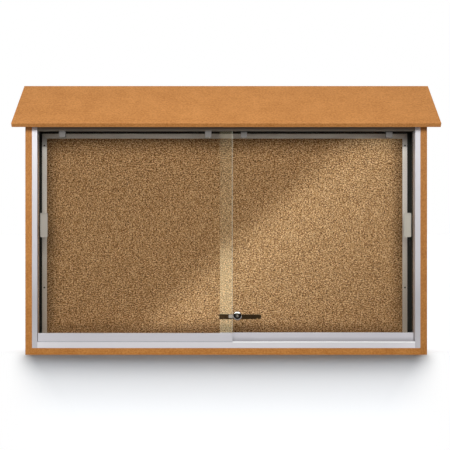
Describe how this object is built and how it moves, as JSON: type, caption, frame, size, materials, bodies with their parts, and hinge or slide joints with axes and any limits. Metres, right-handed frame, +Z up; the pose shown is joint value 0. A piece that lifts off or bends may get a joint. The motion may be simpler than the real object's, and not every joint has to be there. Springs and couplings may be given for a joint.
{
  "type": "lockable notice board",
  "caption": "Wall-mounted outdoor notice board: roofed case, cork board behind two overlapping sliding glass doors on rollers, and a keyed ratchet lock.",
  "frame": {"origin": "under the middle of the whole board, roof included, on the level of its lower edge, where it stands on a surface", "axes": "+Z up, the doors face -Y, +X to the right as seen from the front"},
  "size_m": [1.207, 0.1655, 0.7848],
  "materials": {
    "cedar_board": "satin cedar-brown plastic lumber with a fine grain",
    "black_board": "matt black plastic board",
    "frame_aluminium": "satin clear-anodised aluminium",
    "trim_aluminium": "satin aluminium",
    "cork": "natural cork, open grain",
    "backer": "hardboard",
    "pane": "clear float glass with ground edges",
    "seal": "soft black rubber",
    "nylon": "grey nylon",
    "axle_steel": "bright steel",
    "screw_steel": "zinc-plated steel",
    "pull_aluminium": "satin anodised",
    "bar_steel": "dark bronze-plated steel",
    "lock_chrome": "bright chrome",
    "lock_inner": "bare brass"
  },
  "bodies": {
    "case": {"side_panel_left": "cedar_board", "side_panel_right": "cedar_board", "bottom_panel": "cedar_board", "top_panel": "cedar_board", "roof_panel": "cedar_board", "roof_cleat_left": "cedar_board", "roof_cleat_middle": "cedar_board", "roof_cleat_right": "cedar_board", "back_panel": "black_board", "sill_track": "frame_aluminium", "head_track": "frame_aluminium", "jamb_left": "frame_aluminium", "jamb_right": "frame_aluminium", "cork_sheet": "cork", "cork_backer": "backer", "cork_trim_left": "trim_aluminium", "cork_trim_right": "trim_aluminium", "cork_trim_top": "trim_aluminium", "cork_trim_bottom": "trim_aluminium", "case_screws": "screw_steel", "track_screws": "screw_steel", "trim_screws": "screw_steel"},
    "front_door": {"front_glass": "pane", "front_glass_gasket": "seal", "front_door_shoe": "frame_aluminium", "front_roller_carrier_left": "nylon", "front_wheel_axle_left": "axle_steel", "front_roller_carrier_right": "nylon", "front_wheel_axle_right": "axle_steel", "front_top_guide_left": "nylon", "front_top_guide_right": "nylon", "front_finger_pull": "pull_aluminium"},
    "front_wheel_left": {"front_wheel_left": "nylon"},
    "front_wheel_right": {"front_wheel_right": "nylon"},
    "rear_door": {"rear_glass": "pane", "rear_glass_gasket": "seal", "rear_door_shoe": "frame_aluminium", "rear_roller_carrier_left": "nylon", "rear_wheel_axle_left": "axle_steel", "rear_roller_carrier_right": "nylon", "rear_wheel_axle_right": "axle_steel", "rear_top_guide_left": "nylon", "rear_top_guide_right": "nylon", "rear_finger_pull": "pull_aluminium"},
    "rear_wheel_left": {"rear_wheel_left": "nylon"},
    "rear_wheel_right": {"rear_wheel_right": "nylon"},
    "ratchet_bar": {"ratchet_bar": "bar_steel", "bar_pad": "seal", "bar_rivet": "bar_steel"},
    "lock": {"lock_housing": "lock_chrome", "lock_cover": "lock_chrome", "lock_cover_screws": "screw_steel"},
    "plug": {"lock_plug": "lock_chrome"},
    "pawl": {"lock_pawl": "lock_inner"}
  },
  "joints": [
    {"name": "front_door_slide", "type": "slide", "parent": "case", "child": "front_door", "axis": [1, 0, 0], "range_m": [0, 0.49]},
    {"name": "front_wheel_left_roll", "type": "hinge", "parent": "front_door", "child": "front_wheel_left", "pos_m": [-0.474, -0.03967, 0.0385], "axis": [0, 1, 0], "range_deg": [-5, 5110]},
    {"name": "front_wheel_right_roll", "type": "hinge", "parent": "front_door", "child": "front_wheel_right", "pos_m": [-0.044, -0.03967, 0.0385], "axis": [0, 1, 0], "range_deg": [-5, 5110]},
    {"name": "rear_door_slide", "type": "slide", "parent": "case", "child": "rear_door", "axis": [1, 0, 0], "range_m": [-0.49, 0]},
    {"name": "rear_wheel_left_roll", "type": "hinge", "parent": "rear_door", "child": "rear_wheel_left", "pos_m": [0.044, -0.02647, 0.0385], "axis": [0, 1, 0], "range_deg": [-5110, 5]},
    {"name": "rear_wheel_right_roll", "type": "hinge", "parent": "rear_door", "child": "rear_wheel_right", "pos_m": [0.474, -0.02647, 0.0385], "axis": [0, 1, 0], "range_deg": [-5110, 5]},
    {"name": "bar_unhook_slide", "type": "slide", "parent": "rear_door", "child": "ratchet_bar", "axis": [1, 0, 0], "range_m": [-0.013, 0]},
    {"name": "lock_slide", "type": "slide", "parent": "front_door", "child": "lock", "axis": [-1, 0, 0], "range_m": [-0.084, 0]},
    {"name": "plug_turn", "type": "hinge", "parent": "lock", "child": "plug", "pos_m": [0.0318, -0.05447, 0.111], "axis": [0, 1, 0], "range_deg": [0, 90]},
    {"name": "pawl_drop", "type": "slide", "parent": "lock", "child": "pawl", "axis": [0, 0, -1], "range_m": [-0.0001, 0.00265]}
  ],
  "couplings": [
    {"joint": "front_wheel_left_roll", "follows": "front_door_slide", "rad_per_m": 181.82},
    {"joint": "front_wheel_right_roll", "follows": "front_door_slide", "rad_per_m": 181.82},
    {"joint": "rear_wheel_left_roll", "follows": "rear_door_slide", "rad_per_m": 181.82},
    {"joint": "rear_wheel_right_roll", "follows": "rear_door_slide", "rad_per_m": 181.82},
    {"joint": "pawl_drop", "follows": "plug_turn", "m_per_rad": 0.0016206}
  ]
}
